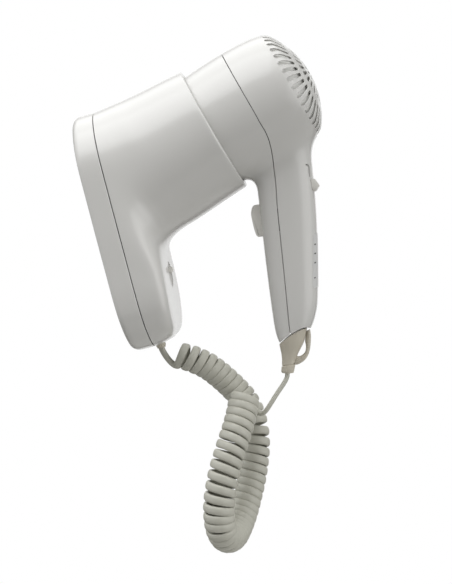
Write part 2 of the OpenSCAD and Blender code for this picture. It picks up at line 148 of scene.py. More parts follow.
def superellipse(e, o, w, n, count):
    """Ring between side-view points e and o with half-width w, evenly spaced along its length."""
    e, o = np.asarray(e, float), np.asarray(o, float)
    t = np.linspace(0, math.pi / 2, 400)
    p, q = np.cos(t) ** (2 / n), np.sin(t) ** (2 / n)
    half = np.linalg.norm(e - o) / 2
    run = np.concatenate([[0], np.cumsum(np.hypot(np.diff(p * half), np.diff(q * w)))])
    quarter = count // 4
    want = np.linspace(0, run[-1], quarter + 1)
    p, q = np.interp(want, run, p), np.interp(want, run, q)
    pq = np.concatenate(
        [
            np.stack([p, q], 1)[:-1],
            np.stack([-p[::-1], q[::-1]], 1)[:-1],
            np.stack([-p, -q], 1)[:-1],
            np.stack([p[::-1], -q[::-1]], 1)[:-1],
        ]
    )
    xz = (e + o) / 2 + pq[:, :1] * (e - o) / 2
    return np.stack([xz[:, 0], pq[:, 1] * w, xz[:, 1]], 1)


def pillow(outline, low, high, r, place):
    """A slab with the 2-D outline and rounded rims of radius r between two heights."""
    out = np.asarray(outline, float)
    area = np.sum(out[:, 0] * np.roll(out[:, 1], -1) - np.roll(out[:, 0], -1) * out[:, 1])
    if area < 0:
        out = out[::-1]
    t = np.roll(out, -1, 0) - np.roll(out, 1, 0)
    t /= np.linalg.norm(t, axis=1, keepdims=True)
    inward = np.stack([-t[:, 1], t[:, 0]], 1)
    ang = np.linspace(0, math.pi / 2, 6)
    rows = [(low + r - r * math.sin(a), r * (1 - math.cos(a))) for a in ang[::-1]]
    rows += [(high - r + r * math.sin(a), r * (1 - math.cos(a))) for a in ang]
    rings = []
    for h, inset in rows:
        flat = out + inward * inset
        rings.append(place(flat[:, 0], flat[:, 1], np.full(len(flat), h)))
    return loft(rings)


def inside(points, outline):
    """True for each 2-D point inside the closed outline."""
    x, y = points[:, 0], points[:, 1]
    hit = np.zeros(len(points), bool)
    for a, b in zip(outline, np.roll(outline, -1, 0)):
        crosses = (a[1] > y) != (b[1] > y)
        at = a[0] + (y - a[1]) * (b[0] - a[0]) / (b[1] - a[1] + 1e-12)
        hit ^= crosses & (x < at)
    return hit


def joined(parts):
    """One list of vertices and faces from several."""
    verts, faces, shift = [], [], 0
    for v, f in parts:
        verts.append(np.asarray(v, float))
        faces += [tuple(i + shift for i in q) for q in f]
        shift += len(v)
    return np.vstack(verts), faces


def bake(ob):
    """Applies the object's modifiers to its mesh."""
    bpy.context.view_layer.update()
    dg = bpy.context.evaluated_depsgraph_get()
    me = bpy.data.meshes.new_from_object(ob.evaluated_get(dg))
    ob.modifiers.clear()
    ob.data = me


def soften(ob, width):
    """Rounds the sharp edges of a mesh."""
    mod = ob.modifiers.new("soft", "BEVEL")
    mod.width, mod.segments = width * MM, 3
    mod.limit_method, mod.angle_limit = "ANGLE", math.radians(30)
    bake(ob)


def give_wall(ob, thick):
    """Turns an open skin into a wall that grows inward."""
    mod = ob.modifiers.new("wall", "SOLIDIFY")
    mod.thickness, mod.offset = thick * MM, -1
    bake(ob)


def apply_boolean(ob, cutter, operation="DIFFERENCE"):
    """Cuts an object with another, which is used up."""
    mod = ob.modifiers.new("cut", "BOOLEAN")
    mod.operation, mod.solver, mod.object = operation, "EXACT", cutter
    bake(ob)
    bpy.data.objects.remove(cutter)


def absorb(ob, other, sharp):
    """Adds another object's mesh to this one; the other is used up."""
    bm = bmesh.new()
    bm.from_mesh(ob.data)
    bm.from_mesh(other.data)
    bm.to_mesh(ob.data)
    bm.free()
    bpy.data.objects.remove(other)
    clean(ob, sharp)


def finish_piece(ob, body, mat, replaced=()):
    """Gives a piece its material and body, and hides the CAD nodes it stands for."""
    ob.data.materials.clear()
    ob.data.materials.append(mat)
    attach(ob, body)
    if replaced:
        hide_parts(*replaced)


# ---------------------------------------------------------------- materials


def material(name):
    """A new material, its node tree and its shader."""
    m = bpy.data.materials.new(name)
    m.use_nodes = True
    return m, m.node_tree, m.node_tree.nodes["Principled BSDF"]


def add(nt, kind, **values):
    """A new node with its inputs, or else its properties, set by name."""
    node = nt.nodes.new(kind)
    for key, v in values.items():
        if key in node.inputs:
            node.inputs[key].default_value = v
        else:
            setattr(node, key, v)
    return node


def noise(nt, where, scale, detail):
    """Noise from 0 to 1 at the given coordinates."""
    node = add(nt, "ShaderNodeTexNoise", Scale=scale, Detail=detail)
    nt.links.new(where, node.inputs["Vector"])
    return node.outputs["Fac"]


def spread(nt, value, low, high):
    """Maps a value from 0..1 to low..high."""
    node = add(nt, "ShaderNodeMapRange")
    node.inputs["To Min"].default_value = low
    node.inputs["To Max"].default_value = high
    nt.links.new(value, node.inputs["Value"])
    return node.outputs["Result"]


def blended(nt, below, color, factor):
    """Mixes a colour over a colour or a socket."""
    node = add(nt, "ShaderNodeMix", data_type="RGBA")
    nt.links.new(factor, node.inputs["Factor"])
    if isinstance(below, tuple):
        node.inputs["A"].default_value = (*below, 1)
    else:
        nt.links.new(below, node.inputs["A"])
    node.inputs["B"].default_value = (*color, 1)
    return node.outputs["Result"]


def bumped(nt, height, strength, distance, under=None):
    """A bumped normal, laid over another where one is given."""
    node = add(nt, "ShaderNodeBump", Strength=strength, Distance=distance)
    nt.links.new(height, node.inputs["Height"])
    if under:
        nt.links.new(under, node.inputs["Normal"])
    return node.outputs["Normal"]


def moulded(name, color, rough, coat=0.0, speck=0.02, orange=0.03, grain=900.0):
    """Moulded plastic: slight colour drift, fine grain in the gloss and a faint moulding ripple."""
    m, nt, b = material(name)
    where = add(nt, "ShaderNodeTexCoord").outputs["Object"]
    drift = spread(nt, noise(nt, where, 9.0, 3.0), 0.0, speck * 6)
    warmer = [c * t for c, t in zip(color, (0.96, 0.95, 0.92))]
    nt.links.new(blended(nt, color, warmer, drift), b.inputs["Base Color"])
    fine = noise(nt, where, grain, 2.0)
    nt.links.new(spread(nt, fine, rough - 0.04, rough + 0.06), b.inputs["Roughness"])
    ripple = bumped(nt, noise(nt, where, 38.0, 1.0), orange, 0.002)
    nt.links.new(bumped(nt, fine, orange * 1.5, 0.0002, ripple), b.inputs["Normal"])
    b.inputs["Coat Weight"].default_value = coat
    b.inputs["Coat Roughness"].default_value = 0.06
    b.inputs["IOR"].default_value = 1.5
    return m


def metal(name, color, rough):
    """Drawn metal: its colour, gloss and bump follow one stretched noise."""
    m, nt, b = material(name)
    stretch = add(nt, "ShaderNodeMapping")
    stretch.inputs["Scale"].default_value = (400.0, 400.0, 30.0)
    nt.links.new(add(nt, "ShaderNodeTexCoord").outputs["Object"], stretch.inputs["Vector"])
    streaks = noise(nt, stretch.outputs["Vector"], 4.0, 3.0)
    darker = tuple(c * 0.85 for c in color)
    nt.links.new(spread(nt, streaks, rough - 0.08, rough + 0.12), b.inputs["Roughness"])
    nt.links.new(blended(nt, darker, color, streaks), b.inputs["Base Color"])
    nt.links.new(bumped(nt, streaks, 0.08, 0.0002), b.inputs["Normal"])
    b.inputs["Metallic"].default_value = 1.0
    return m


WHITE = moulded("white_gloss", (0.66, 0.655, 0.635), 0.22, coat=0.35, speck=0.01, orange=0.015)
WHITE_IN = moulded("white_plain", (0.62, 0.61, 0.59), 0.42)
IVORY = moulded("ivory_pvc", (0.60, 0.56, 0.47), 0.42, speck=0.02, orange=0.05, grain=1400.0)
LIGHT = moulded("white_slider", (0.86, 0.845, 0.80), 0.3, coat=0.3, speck=0.01, orange=0.01)
CORD = moulded("cord_pvc", (0.53, 0.525, 0.46), 0.38, speck=0.03, orange=0.04, grain=1600.0)
BLACK = moulded("black_moulding", (0.03, 0.03, 0.032), 0.4)
LABEL = moulded("label_film", (0.66, 0.66, 0.655), 0.35, speck=0.01, orange=0.01)
INK = moulded("label_ink", (0.09, 0.09, 0.09), 0.5, speck=0.05)
STEEL = metal("plated_steel", (0.60, 0.61, 0.63), 0.3)
BRONZE = metal("winding_copper", (0.72, 0.40, 0.22), 0.35)
MICA = moulded("mica_board", (0.55, 0.47, 0.32), 0.6, speck=0.12, orange=0.2, grain=700.0)
SCREEN = moulded("screen_mesh", (0.90, 0.90, 0.88), 0.6, speck=0.03)

CAD_LOOKS = {
    WHITE_IN: "supply_clamp handle_clamp hood_liner",
    BLACK: "base_switch terminal_block fan_duct fan trigger_switch mode_switch outlet_grille",
    STEEL: "holder_screws motor_can motor_shaft heater_coils thermostat thermal_fuse shell_screws",
    BRONZE: "motor_bearings armature",
    MICA: "heat_sleeve heater_frame",
    SCREEN: "lint_screen",
}
for mat, names in CAD_LOOKS.items():
    for name in names.split():
        nodes[name].data.materials.clear()
        nodes[name].data.materials.append(mat)


# ---------------------------------------------------------------- camera

AZ, EL, DIST = math.radians(4.6), math.radians(1.0), 1.2
# Height of the view at the dryer's distance, and of the sensor
VIEW_H, SENSOR = 417.14 * MM, 36
aim = Vector((0.0734, 0.0, -0.0618))
back = Vector((math.sin(AZ) * math.cos(EL), -math.cos(AZ) * math.cos(EL), math.sin(EL)))
cam_data = bpy.data.cameras.new("camera")
cam = bpy.data.objects.new("camera", cam_data)
bpy.context.scene.collection.objects.link(cam)
cam.location = aim + back * DIST
up = Vector((math.sin(TILT), 0, math.cos(TILT)))
right = up.cross(back).normalized()
up = back.cross(right).normalized()
cam.matrix_world = Matrix(
    (
        (right.x, up.x, back.x, cam.location.x),
        (right.y, up.y, back.y, cam.location.y),
        (right.z, up.z, back.z, cam.location.z),
        (0, 0, 0, 1),
    )
)
cam_data.sensor_width = SENSOR
cam_data.lens = SENSOR * DIST / VIEW_H
cam_data.clip_start, cam_data.clip_end = 0.05, 60
bpy.context.scene.camera = cam


# ---------------------------------------------------------------- cord

LEAD = [
    [18.2, 0, -87.8], [18.5, 0.2, -90.6], [19.6, 1.2, -95], [21.6, 2.8, -100.4], [24.4, 3.6, -104.2],
    [26.9, 2, -105.6],
]
COIL = [
    [27.8, 0, -96.6], [34.4, 1, -100], [41, 2.5, -104.8], [47, 4.5, -110.4], [52, 6.5, -117],
    [56.6, 8.5, -124], [60.8, 10.5, -131.4], [64.5, 12, -139], [67, 13, -148.4], [67.4, 13, -158.6],
    [66.2, 12, -169], [63.5, 10.5, -179], [59.7, 8.5, -188.8], [55.2, 6, -198.6], [50.2, 2.5, -208],
    [44.8, -2, -217.4], [39.2, -8.5, -225.2], [34.4, -16.5, -229.6], [30.9, -24.5, -228],
    [29.6, -29.5, -221], [30.8, -31, -211], [33.8, -31, -200.6], [37.8, -30, -191], [42.4, -28.4, -181.8],
    [47.6, -26.2, -173], [52.8, -23.4, -164.6], [58, -20, -156.4], [62.6, -16.4, -148.2],
    [66.4, -13, -140.2], [69.6, -10.6, -133.6],
]
TAIL = [
    [70.4, -2.8, -152.4], [75.4, -3.8, -153.4], [80, -4.6, -150.4], [84.8, -4.2, -146],
    [90.6, -2.8, -140.6], [96.6, -1, -135.4], [99.8, -0.2, -131.8], [101.1, 0, -128.5],
]
FLAT_W, FLAT_T = 6.0, 3.4
# Outer diameter of the turns at each share of the coil's length
COIL_D = [(0, 19.6), (0.3, 20.3), (0.5, 21), (0.7, 22.6), (1, 22.2)]
# Turns wound by each share of the coil's length
WIND = [
    (0, 0), (0.06, 2.5), (0.12, 5.5), (0.2, 9.5), (0.24, 11.5), (0.3, 13.5), (0.35, 15.5), (0.42, 18.6),
    (0.48, 21.5), (0.55, 25.3), (0.6, 29.5), (0.63, 32.5), (0.66, 34.5), (0.7, 36.5), (0.75, 38.5),
    (0.8, 40.4), (0.88, 43.6), (0.94, 46.4), (1, 49.4),
]
TURNS = WIND[-1][1]
AXIS_POINTS, POINTS_PER_TURN = 1400, 22


def even(line, count):
    """The line again, with evenly spaced points."""
    run = np.concatenate([[0], np.cumsum(np.linalg.norm(np.diff(line, axis=0), axis=1))])
    want = np.linspace(0, run[-1], count)
    return np.stack([np.interp(want, run, line[:, k]) for k in range(3)], 1)


def unit(vectors):
    """The vectors at length 1."""
    return vectors / np.linalg.norm(vectors, axis=-1, keepdims=True)


def carried_frames(line, first):
    """Tangents of a line and a side direction carried along it without twist."""
    tan = unit(np.gradient(line, axis=0))
    u = np.asarray(first, float)
    sides = []
    for t in tan:
        u = unit(u - np.dot(u, t) * t)
        sides.append(u)
    return tan, np.array(sides)


def build_coil():
    """The turns wound round the coil's axis, and the direction outward from it at each point."""
    axis = even(curve_through(COIL, 12), AXIS_POINTS)
    tan, u = carried_frames(axis, (0, 0, -1))
    v = np.cross(tan, u)
    order = np.arange(len(axis))
    turns = np.interp(order / order[-1], *zip(*WIND))
    # A running mean rounds the corners of the winding
    reach = 30
    window = np.ones(2 * reach + 1) / (2 * reach + 1)
    turns = np.convolve(np.pad(turns, reach, mode="edge"), window, "valid")
    turns -= turns[0]
    turns *= TURNS / turns[-1]
    want = np.linspace(0, TURNS, int(TURNS * POINTS_PER_TURN))
    at = np.interp(want, turns, order)

    def picked(a):
        return np.stack([np.interp(at, order, a[:, k]) for k in range(3)], 1)

    centre, u, v = picked(axis), picked(u), picked(v)
    ang = (-2 * math.pi * want)[:, None]
    radius = (np.interp(at / order[-1], *zip(*COIL_D)) / 2 - FLAT_T / 2)[:, None]
    outward = unit(u * np.cos(ang) + v * np.sin(ang))
    return centre + radius * outward, outward


def build_cord_line():
    """The cord's centre line from the gland to the handset, and the direction its flat faces."""
    coil, outward = (a[1:-4] for a in build_coil())
    lead, tail = curve_through(LEAD, 5), curve_through(TAIL, 5)
    line = np.vstack([lead, coil, tail])
    across = [0.0, 1.0, 0.0]
    leaning = [0.0, -0.6, 0.0] - 0.8 * unit(np.cross(np.gradient(lead, axis=0), across))
    if leaning[-1] @ outward[0] < 0:
        leaning = leaning * [-1, 1, -1]
    edgeways = unit(np.cross(np.gradient(tail, axis=0), across))
    if edgeways[0] @ outward[-1] < 0:
        edgeways = -edgeways
    radial = np.vstack([leaning, outward, edgeways])
    # Ease the joins between the plain ends and the turns, least at the edges of each stretch
    reach = 14
    ease = 0.5 * (0.5 + 0.5 * np.cos(np.pi * np.arange(-reach, reach) / reach))[:, None]
    for middle in (len(lead) - 2, len(lead) + len(coil)):
        lo, hi = middle - reach, middle + reach
        for _ in range(30):
            for arr in (line, radial):
                arr[lo:hi] += ease * (0.5 * (arr[lo - 1 : hi - 1] + arr[lo + 1 : hi + 1]) - arr[lo:hi])
    return line, radial


def sweep_flat(line, radial, width, thick):
    """Rounded oblong rings along a line, thick in the radial direction."""
    tan = unit(np.gradient(line, axis=0))
    r = unit(radial - np.sum(radial * tan, 1)[:, None] * tan)
    w = np.cross(tan, r)
    squareness = 2.5
    c, s = circle(1.0, 14).T
    across = np.sign(c) * np.abs(c) ** (2 / squareness) * width / 2
    out = np.sign(s) * np.abs(s) ** (2 / squareness) * thick / 2
    flat = w[:, None, :] * across[None, :, None] + r[:, None, :] * out[None, :, None]
    return line[:, None, :] + flat


line, radial = build_cord_line()
cord = mesh_piece("curly_cord", *loft(sweep_flat(line, radial, FLAT_W, FLAT_T)))
LENGTH = float(np.linalg.norm(np.diff(line, axis=0), axis=1).sum()) * MM
print("cord length", LENGTH)
cord.data.materials.append(CORD)
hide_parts("cord_lead", "cord_coil", "cord_tail")
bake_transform(cord)


# ---------------------------------------------------------------- holder

# Depth of the wall tray to the middle of its seam, and half the seam's width
PLATE_D, SEAM_GAP = 16.3, 0.33
HOOD_R, BORE_R = 46.8, 42.9
# The rows below reach behind the wall, and the housing is cut off at the seam
BEHIND = -24.0

# [front or lower point], [back or upper point], half-width, squareness, from the hood down
ROWS = [
    [side(-2.2, -HOOD_R), side(-2.2, HOOD_R), HOOD_R, 2],
    [[92, 2.2], [68, 94.8], 46.4, 2],
    [[78, -2.6], [53.5, 91.8], 46.3, 2],
    [[66, -6.6], [42, 89.8], 46.3, 2],
    [[56.8, -9.3], [32, 88.2], 46.3, 2.1],
    [[49.8, -12.2], [19, 86.4], 46.6, 2.2],
    [[44.6, -15.6], [6, 84.6], 47.2, 2.5],
    [[41, -20], [-10, 82], 48, 3.4],
    [[39.5, -26], [BEHIND, 60], 48.7, 5.4],
    [[38.7, -33], [BEHIND, 31], 49, 7.5],
    [[37.9, -43], [BEHIND, 0], 49, 10],
    [[37.1, -53], [BEHIND, -30], 49, 11],
    [[36.3, -62], [BEHIND, -54], 47.6, 10],
    [[35.5, -69.4], [BEHIND, -68.6], 43.8, 9],
    [[34.5, -75.6], [BEHIND, -76.8], 38.3, 8],
    [[32.4, -80], [BEHIND, -82], 32.4, 6.6],
    [[28.4, -83.2], [BEHIND, -85.4], 26.2, 5.6],
    [[23.6, -84.8], [BEHIND, -87.2], 20.4, 4.6],
    [[19.8, -85.6], [BEHIND, -87.8], 16.6, 4],
]
# Points round each ring of the housing
COUNT = 160


def flat_rows(rows):
    """Rows of two points, a half-width and a squareness as an array of six columns."""
    return np.array([[*e, *o, w, n] for e, o, w, n in rows], float)


def row_rings(rows, steps, inset=0.0):
    """Rings on smooth lines through the rows, shrunk by the inset."""
    rings = []
    for ex, ez, ox, oz, w, n in curve_through(flat_rows(rows), steps):
        e, o = np.array([ex, ez]), np.array([ox, oz])
        v = (e - o) / np.linalg.norm(e - o)
        rings.append(superellipse(e - inset * v, o + inset * v, w - inset, n, COUNT))
    return rings


def curve_rings(rings, steps):
    """More rings, on smooth lines through the given ones."""
    rings = np.asarray(rings, float)
    return curve_through(rings.reshape(len(rings), -1), steps).reshape(-1, rings.shape[1], 3)


def hood_ring(s, r):
    """Ring about the barrel's axis, s along it from the hood's mouth."""
    return superellipse(side(s, -r), side(s, r), r, 2, COUNT)


def edge_loops(edges):
    """Closed loops of vertices from a set of boundary edges."""
    link = {}
    for e in edges:
        for v in e.verts:
            link.setdefault(v, []).append(e)
    loops, seen = [], set()
    for start in link:
        if start in seen:
            continue
        loop, v, came = [], start, None
        while v not in seen:
            seen.add(v)
            loop.append(v)
            nxt = next((e for e in link[v] if e is not came), None)
            if nxt is None:
                break
            came = nxt
            v = nxt.other_vert(v)
        loops.append(loop)
    return loops


def build_housing():
    """The front shell with its hood, and the outer line of its back edge."""
    base = superellipse([17.8, -85.8], [BEHIND, -87.9], 12, 3.4, COUNT)
    tip = superellipse([12, -85.9], [BEHIND, -87.95], 5, 3, COUNT)
    rings = [tip, base, *row_rings(ROWS, 6)[::-1]]
    lip, mouth = 1.7, 0.9
    for k in range(1, 7):
        a = math.pi / 2 * (1 - k / 6)
        rings.append(hood_ring(-lip + lip * math.cos(a), HOOD_R - lip + lip * math.sin(a)))
    for k in range(1, 5):
        a = math.pi / 2 * k / 4
        rings.append(hood_ring(-mouth + mouth * math.cos(a), BORE_R + mouth - mouth * math.sin(a)))
    for s in (-2.5, -5, -8):
        rings.append(hood_ring(s, BORE_R))
    rings.append(hood_ring(-10, BORE_R + 0.2))
    # The cavity follows the outside 3 mm in and ends short of the bottom
    rings += row_rings(ROWS[2:], 3, 3.0)[:-4]
    ob = mesh_piece("housing", *loft(rings))
    bm = bmesh.new()
    bm.from_mesh(ob.data)
    everything = bm.verts[:] + bm.edges[:] + bm.faces[:]
    cut = ((PLATE_D + SEAM_GAP) * MM, 0, 0)
    bmesh.ops.bisect_plane(bm, geom=everything, plane_co=cut, plane_no=(-1, 0, 0), clear_outer=True)
    edges = [e for e in bm.edges if e.is_boundary]
    highest = max(edge_loops(edges), key=lambda loop: max(v.co.z for v in loop))
    outer_loop = np.array([v.co[:] for v in highest]) / MM
    bmesh.ops.bridge_loops(bm, edges=edges)
    bmesh.ops.recalc_face_normals(bm, faces=bm.faces)
    shade(bm, 40)
    bm.to_mesh(ob.data)
    bm.free()
    return ob, outer_loop


housing, seam_loop = build_housing()


def inset_loop(loop, d):
    """A closed 2-D loop moved inward by d."""
    t = np.roll(loop, -1, 0) - np.roll(loop, 1, 0)
    t /= np.linalg.norm(t, axis=1, keepdims=True)
    n = np.stack([-t[:, 1], t[:, 0]], 1)
    centre = loop.mean(0)
    if np.sum((centre - loop) * n) < 0:
        n = -n
    return loop + n * d


def build_plate(loop):
    """The tray behind the housing; its back edge is rounded most at the top and the bottom."""
    yz = loop[:, 1:]
    x_front = PLATE_D - SEAM_GAP
    share = np.clip((np.abs(yz[:, 1]) - 45) / 35, 0, 1)
    share = share * share * (3 - 2 * share)
    # Place out from the wall and inset: the lip behind the seam, the rim, and the rounded back edge
    deep, wide = 3 + 3 * share, 1.8 + 3.7 * share
    rows = [(x_front - 13.5, 3.0), (x_front - 1.0, 3.0), (x_front, 2.8), (x_front, 0.35)]
    rows += [(x_front - 0.3, 0.08), (x_front - 0.7, 0.0), (x_front - 2.5, 0.0), (10.5, 0.0), (8.0, 0.0)]
    rows = [(np.full(len(yz), x), np.full(len(yz), d)) for x, d in rows]
    for a in np.linspace(0, math.pi / 2, 9):
        rows.append((deep * (1 - math.sin(a)), wide * (1 - math.cos(a))))
    rings = []
    for x, d in rows:
        ring = inset_loop(yz, d[:, None])
        rings.append(np.stack([x, ring[:, 0], ring[:, 1]], 1))
    return loft(rings)


plate = mesh_piece("wall_tray", *build_plate(seam_loop))


def block(low, high):
    """A box between two corners."""
    (x0, y0, z0), (x1, y1, z1) = low, high
    v = [(x, y, z) for x in (x0, x1) for y in (y0, y1) for z in (z0, z1)]
    f = [(0, 1, 3, 2), (4, 6, 7, 5), (0, 4, 5, 1), (2, 3, 7, 6), (0, 2, 6, 4), (1, 5, 7, 3)]
    return np.array(v, float), f


def leaned(origin, lean):
    """Places local (X out, Y across, Z up) points on a face that leans by the angle."""
    a = math.radians(lean)
    c, s = math.cos(a), math.sin(a)

    def place(x, y, z):
        return np.stack([origin[0] + c * x + s * z, np.asarray(y) + 0 * x, origin[1] - s * x + c * z], -1)

    return place


# Faces that carry pieces: the grip's front, the handle's back and the holder's lower front
on_grip = leaned((111, -19), 8.2)
on_back = leaned((154.5, 0), 9.3)
on_base = leaned((37.8, -36), 4.7)


def placed_block(place, low, high):
    """A block in the axes of a leaning face."""
    v, f = block(low, high)
    return place(v[:, 0], v[:, 1], v[:, 2]), f


# Radius and height up the gland
GLAND = [
    [0.01, -84], [3.2, -84], [3.5, -84.2], [3.6, -86.6], [3.4, -87.1], [3.2, -87.3], [3.1, -88.3],
    [2.8, -88.5], [0.01, -88.5],
]
gland_rings = [np.insert(circle(r, 40) + [18.4, 0], 2, z, axis=1) for r, z in GLAND]
finish_piece(mesh_piece("gland", *loft(gland_rings)), "holder", IVORY, ["cord_gland"])

# Height and half-width of the raised boss round the switch, which fades out at both ends
BOSS = [
    [6.4, 0.9], [4.4, 2.1], [2.2, 2.55], [0, 2.6], [-3.5, 2.62], [-7, 2.6], [-9.2, 2.35], [-11, 1.9],
    [-12.9, 1], [-14.1, 0.4],
]
BOSS_TOP, BOSS_LOW, FADE = 7.8, -14.4, 7
boss_rings = []
for z, w in BOSS:
    share = min((BOSS_TOP - z) / FADE, (z - BOSS_LOW) / FADE, 1)
    proud = 1.8 * share * (2 - share)
    at = on_base(np.array([-2.4, proud]), np.zeros(2), np.full(2, float(z)))
    boss_rings.append(superellipse(at[1, [0, 2]], at[0, [0, 2]], w, 2.2, 32))
boss = mesh_piece("switch_boss", *loft(curve_rings(boss_rings, 4)), 50)
SLOT = ((-9, -1.3, -10.4), (6, 1.3, 4.4))
for ob in (housing, boss):
    apply_boolean(ob, mesh_piece("slot", *placed_block(on_base, *SLOT)))
absorb(housing, boss, 40)

# The switch's knob: a round bar across the boss, cut out below to straddle it, on a stem
bar = circle(2.4, 40) + [1.1, 0]
saddle = mesh_piece("base_slider", *pillow(bar, -4.2, 4.2, 1.7, lambda x, z, y: on_base(x, y, z)))
for low, high in (((-4, -6, -4), (0.3, 6, 4)), ((-4, -2.9, -4), (2.3, 2.9, 4))):
    apply_boolean(saddle, mesh_piece("cut", *placed_block(on_base, low, high)))
absorb(saddle, mesh_piece("stem", *placed_block(on_base, (-9, -1, -1.1), (2.7, 1, 1.1))), 35)

finish_piece(housing, "holder", WHITE, ["holder_housing"])
finish_piece(plate, "holder", WHITE, ["wall_plate"])
finish_piece(saddle, "base_knob", LIGHT, ["base_knob"])


# ---------------------------------------------------------------- handset shells

# Place along the axis and radius
BARREL = [
    [-72, 32.2], [-66, 33], [-58, 34.4], [-40, 37.2], [-20, 39.8], [0, 41.9], [14, 42.9], [28, 43.3],
    [42, 43.0], [52, 42.2], [58, 41.2], [62, 40], [66, 38.2], [72, 35],
]
# Height, front, back, half-width, squareness
HANDLE = [
    [50, 122, 151, 14, 2.4], [38, 119.5, 155, 16, 2.6], [20, 116.6, 157.2, 17.4, 2.8],
    [4, 114.2, 155.1, 17.6, 2.9], [-10, 112.1, 152.9, 17.4, 2.9], [-26, 109.7, 149.8, 17, 2.8],
    [-43, 107.2, 145.9, 16.6, 2.7], [-66, 104, 140.1, 16, 2.6], [-84, 101.7, 135.3, 15.2, 2.5],
    [-94, 100.6, 131, 14.4, 2.4], [-102, 100.4, 125.6, 13.6, 2.3], [-110, 101.7, 118.6, 12.6, 2.2],
    [-118, 103.4, 111, 11.4, 2.1],
]
BARREL_FINE = curve_through(BARREL, 8)
HANDLE_FINE = curve_through(HANDLE, 8)[::-1]


def along(x, z):
    """How far side-view points lie along the barrel's axis and above it."""
    dx, dz = x - MOUTH[0], z - MOUTH[1]
    return dx * C15 + dz * S15, dz * C15 - dx * S15


def handle_at(z):
    """Front, back, half-width and squareness of the handle at a height."""
    return [np.interp(z, HANDLE_FINE[:, 0], HANDLE_FINE[:, k]) for k in range(1, 5)]


def barrel_distance(p):
    """About how far points lie outside the barrel, negative inside it."""
    s, a = along(p[:, 0], p[:, 2])
    return np.hypot(a, p[:, 1]) - np.interp(s, BARREL_FINE[:, 0], BARREL_FINE[:, 1])


def handle_distance(p):
    """The same for the handle, which ends inside the barrel."""
    z = p[:, 2]
    xf, xb, w, n = handle_at(z)
    dx, y = p[:, 0] - (xf + xb) / 2, p[:, 1]
    g = (np.abs(dx / ((xb - xf) / 2)) ** n + np.abs(y / w) ** n) ** (1 / n)
    d = np.hypot(dx, y) * (1 - 1 / np.maximum(g, 1e-3))
    return np.maximum(d, z - 46)


# How far the barrel and the handle blend into each other
FILLET = 13.0


def body_distance(p):
    """Signed distance from the whole handset's skin."""
    a, b = barrel_distance(p), handle_distance(p)
    h = np.clip(0.5 + 0.5 * (b - a) / FILLET, 0, 1)
    return b * (1 - h) + a * h - FILLET * h * (1 - h)


def gradient(f, p, d=0.15):
    """How fast a field grows along x, y and z at each point."""
    return np.stack([f(p + d * e) - f(p - d * e) for e in np.eye(3)], 1) / (2 * d)


def handle_rings(low, high, grow, count):
    """Rings of the handle between two heights, grown by the given amount."""
    return [
        superellipse([xf, z], [xb + grow, z], w + grow, n, count)
        for z, xf, xb, w, n in HANDLE_FINE
        if low < z < high
    ]


def build_body():
    """The handset's closed skin: barrel and handle remeshed, then drawn onto the blended surface."""
    barrel = spin([[0.01, -71], *[[r, s] for s, r in BARREL_FINE[8:-8]], [0.01, 68]], 96)
    ob = mesh_piece("body_form", *joined([barrel, loft(handle_rings(-116, 45, 0.0, 64))]))
    mod = ob.modifiers.new("remesh", "REMESH")
    mod.mode, mod.voxel_size = "VOXEL", 1.15 * MM
    bake(ob)
    me = ob.data
    p = np.zeros(len(me.vertices) * 3)
    me.vertices.foreach_get("co", p)
    p = p.reshape(-1, 3) / MM
    for _ in range(8):
        g = gradient(body_distance, p)
        d = body_distance(p)
        move = g * (d / np.maximum(np.sum(g * g, 1), 0.05))[:, None]
        length = np.linalg.norm(move, axis=1, keepdims=True)
        p -= move * np.minimum(1, 1.2 / np.maximum(length, 1e-6))
    me.vertices.foreach_set("co", (p * MM).ravel())
    me.update()
    return ob


# The seam leaves the barrel's cross plane and sweeps down the handle
SEAM_S = 31.0
SEAM = curve_through(
    [
        *[side(SEAM_S, r) for r in (70, 45, 31, 20, 10, 0, -6)], [129.5, 44.6], [131.2, 38.6], [131.9, 32.6],
        [131.7, 26.6], [130.9, 20.4], [129.5, 11.9], [127.9, 1.4], [124.5, -16], [120.2, -43], [115.3, -73],
        [111.6, -95], [110.6, -103], [108.6, -118],
    ],
    5,
)
# The line where the shells end and the strain relief begins
BASE = curve_through(
    [
        [92, -111.4], [100.5, -107], [106.6, -104], [111, -102.3], [118.5, -100.6], [122.6, -100.8],
        [125.4, -102.4], [131, -106], [140, -112],
    ],
    4,
)
# Where the shells end along the barrel's axis, at the grille and at the nozzle
RIM_S, NOZZLE_S = 60.6, -66


def signed_side(xz, lineto):
    """Distance of side-view points from a polyline, positive on its left."""
    best = np.full(len(xz), 1e9)
    sign = np.ones(len(xz))
    for a, b in zip(lineto[:-1], lineto[1:]):
        ab = b - a
        t = np.clip(((xz - a) @ ab) / (ab @ ab), 0, 1)
        near = a + t[:, None] * ab
        off = xz - near
        d = np.linalg.norm(off, axis=1)
        cross = ab[0] * off[:, 1] - ab[1] * off[:, 0]
        better = d < best
        best = np.where(better, d, best)
        sign = np.where(better, np.sign(cross), sign)
    return best * sign


